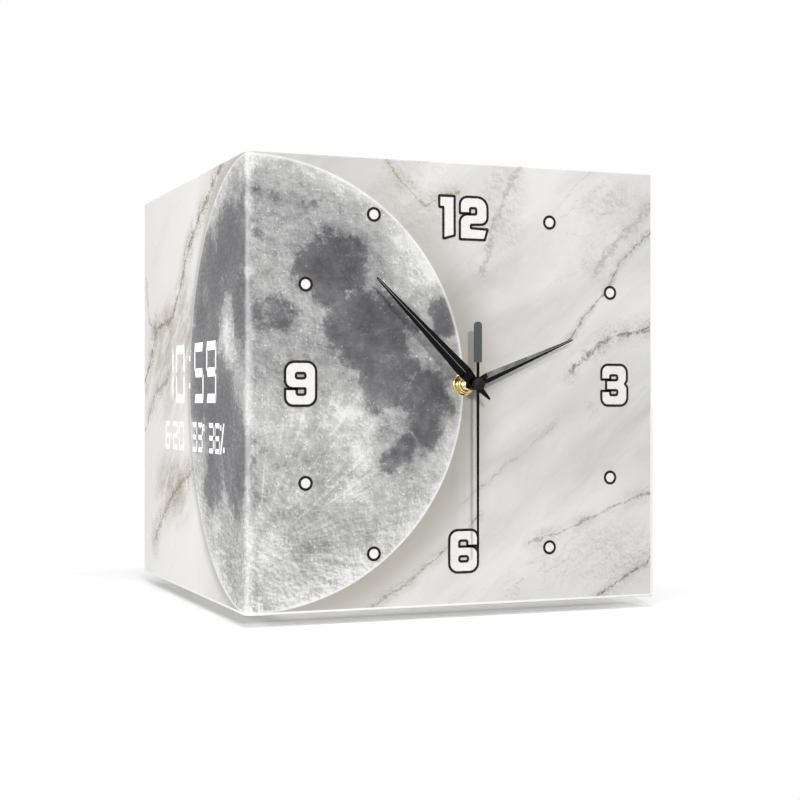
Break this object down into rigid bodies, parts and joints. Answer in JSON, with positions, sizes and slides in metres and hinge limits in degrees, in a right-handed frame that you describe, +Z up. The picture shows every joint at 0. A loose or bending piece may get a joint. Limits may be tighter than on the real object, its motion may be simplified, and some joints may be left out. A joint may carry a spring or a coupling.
{
  "type": "corner wall clock",
  "caption": "Right-angled two-face wall clock for an outside corner: a printed acrylic panel with a quartz dial on one wing and a lit digit display on the other.",
  "frame": {"origin": "on the wall's corner edge, at mid-height, where the wall faces of the two back plates meet", "axes": "+Z up, +X along the dial wing away from the corner, +Y along the display wing away from the corner; the dial faces -Y and the display faces -X"},
  "size_m": [0.3, 0.3271, 0.3],
  "materials": {
    "acrylic": "glossy printed acrylic with polished edges",
    "white_plastic": "satin moulded plastic",
    "black_plastic": "satin moulded plastic",
    "nylon": "natural nylon",
    "foam_tape": "matt bonding foam",
    "rubber": "matt black rubber",
    "brass": "turned and polished",
    "steel": "plain steel",
    "hand_black": "black coated",
    "copper": "enamelled winding",
    "magnet": "sintered",
    "board_green": "solder mask",
    "cell_wrap": "plain printed wrap",
    "sensor_blue": "moulded sensor housing"
  },
  "bodies": {
    "clock_body": {"aa_cell": "cell_wrap", "bonding_tape": "foam_tape", "bottom_rail": "white_plastic", "brass_nut": "brass", "brass_washer": "brass", "climate_digit_module": "black_plastic", "climate_sensor": "sensor_blue", "coil_core": "steel", "coin_cell": "steel", "coin_holder": "black_plastic", "corner_post": "white_plastic", "dial_back_plate": "white_plastic", "dial_end_stile": "white_plastic", "dial_screw_1": "steel", "dial_screw_2": "steel", "dial_screw_3": "steel", "dial_screw_4": "steel", "display_back_plate": "white_plastic", "display_board": "board_green", "display_end_stile": "white_plastic", "display_screw_1": "steel", "display_screw_2": "steel", "display_screw_3": "steel", "display_screw_4": "steel", "driver_chip": "black_plastic", "face_panel": "acrylic", "motor_coil": "copper", "movement_board": "board_green", "movement_case": "black_plastic", "movement_cover": "black_plastic", "negative_contact": "steel", "positive_contact": "steel", "power_lead": "black_plastic", "quartz_crystal": "steel", "rubber_washer": "rubber", "stator": "steel", "switch_1": "black_plastic", "switch_2": "black_plastic", "switch_3": "black_plastic", "threaded_bush": "brass", "time_digit_module": "black_plastic", "top_rail": "white_plastic", "usb_inlet": "steel"},
    "second_hand_group": {"second_hand": "hand_black", "seconds_wheel": "brass"},
    "minute_hand_group": {"minute_hand": "hand_black", "minute_pipe": "brass"},
    "hour_hand_group": {"hour_hand": "hand_black", "hour_wheel": "nylon"},
    "third_wheel_group": {"third_wheel": "nylon"},
    "centre_wheel_group": {"centre_wheel": "nylon"},
    "intermediate_wheel_group": {"intermediate_wheel": "nylon"},
    "rotor_group": {"rotor": "magnet"},
    "minute_wheel_group": {"minute_wheel": "nylon"},
    "set_knob_group": {"set_knob": "black_plastic"},
    "button_1_group": {"button_1": "black_plastic"},
    "button_2_group": {"button_2": "black_plastic"},
    "button_3_group": {"button_3": "black_plastic"}
  },
  "joints": [
    {"name": "second_turn", "type": "hinge", "parent": "clock_body", "child": "second_hand_group", "pos_m": [0.121, -0.032, 0], "axis": [0, 1, 0], "continuous": true},
    {"name": "minute_turn", "type": "hinge", "parent": "clock_body", "child": "minute_hand_group", "pos_m": [0.121, -0.032, 0], "axis": [0, 1, 0], "continuous": true},
    {"name": "hour_turn", "type": "hinge", "parent": "clock_body", "child": "hour_hand_group", "pos_m": [0.121, -0.032, 0], "axis": [0, 1, 0], "continuous": true},
    {"name": "third_wheel_turn", "type": "hinge", "parent": "clock_body", "child": "third_wheel_group", "pos_m": [0.1346, -0.032, 0], "axis": [0, 1, 0], "continuous": true},
    {"name": "centre_wheel_turn", "type": "hinge", "parent": "clock_body", "child": "centre_wheel_group", "pos_m": [0.121, -0.032, 0], "axis": [0, 1, 0], "continuous": true},
    {"name": "intermediate_wheel_turn", "type": "hinge", "parent": "clock_body", "child": "intermediate_wheel_group", "pos_m": [0.1114, -0.032, 0], "axis": [0, 1, 0], "continuous": true},
    {"name": "rotor_turn", "type": "hinge", "parent": "clock_body", "child": "rotor_group", "pos_m": [0.103, -0.032, 0], "axis": [0, 1, 0], "continuous": true},
    {"name": "minute_wheel_turn", "type": "hinge", "parent": "clock_body", "child": "minute_wheel_group", "pos_m": [0.121, -0.032, 0.0096], "axis": [0, 1, 0], "continuous": true},
    {"name": "set_knob_turn", "type": "hinge", "parent": "clock_body", "child": "set_knob_group", "pos_m": [0.12779, -0.032, 0.01639], "axis": [0, 1, 0], "continuous": true},
    {"name": "button_1_press", "type": "slide", "parent": "clock_body", "child": "button_1_group", "axis": [-1, 0, 0], "range_m": [0, 0.0008], "stiffness_N_per_m": 600, "springref_m": -0.001},
    {"name": "button_2_press", "type": "slide", "parent": "clock_body", "child": "button_2_group", "axis": [-1, 0, 0], "range_m": [0, 0.0008], "stiffness_N_per_m": 600, "springref_m": -0.001},
    {"name": "button_3_press", "type": "slide", "parent": "clock_body", "child": "button_3_group", "axis": [-1, 0, 0], "range_m": [0, 0.0008], "stiffness_N_per_m": 600, "springref_m": -0.001}
  ],
  "couplings": [
    {"joint": "third_wheel_turn", "follows": "second_turn", "ratio": -0.13333},
    {"joint": "centre_wheel_turn", "follows": "second_turn", "ratio": 0.016667},
    {"joint": "intermediate_wheel_turn", "follows": "second_turn", "ratio": -5},
    {"joint": "rotor_turn", "follows": "second_turn", "ratio": 30},
    {"joint": "minute_wheel_turn", "follows": "minute_turn", "ratio": -0.33333},
    {"joint": "hour_turn", "follows": "minute_turn", "ratio": 0.083333},
    {"joint": "set_knob_turn", "follows": "minute_turn", "ratio": 1}
  ]
}
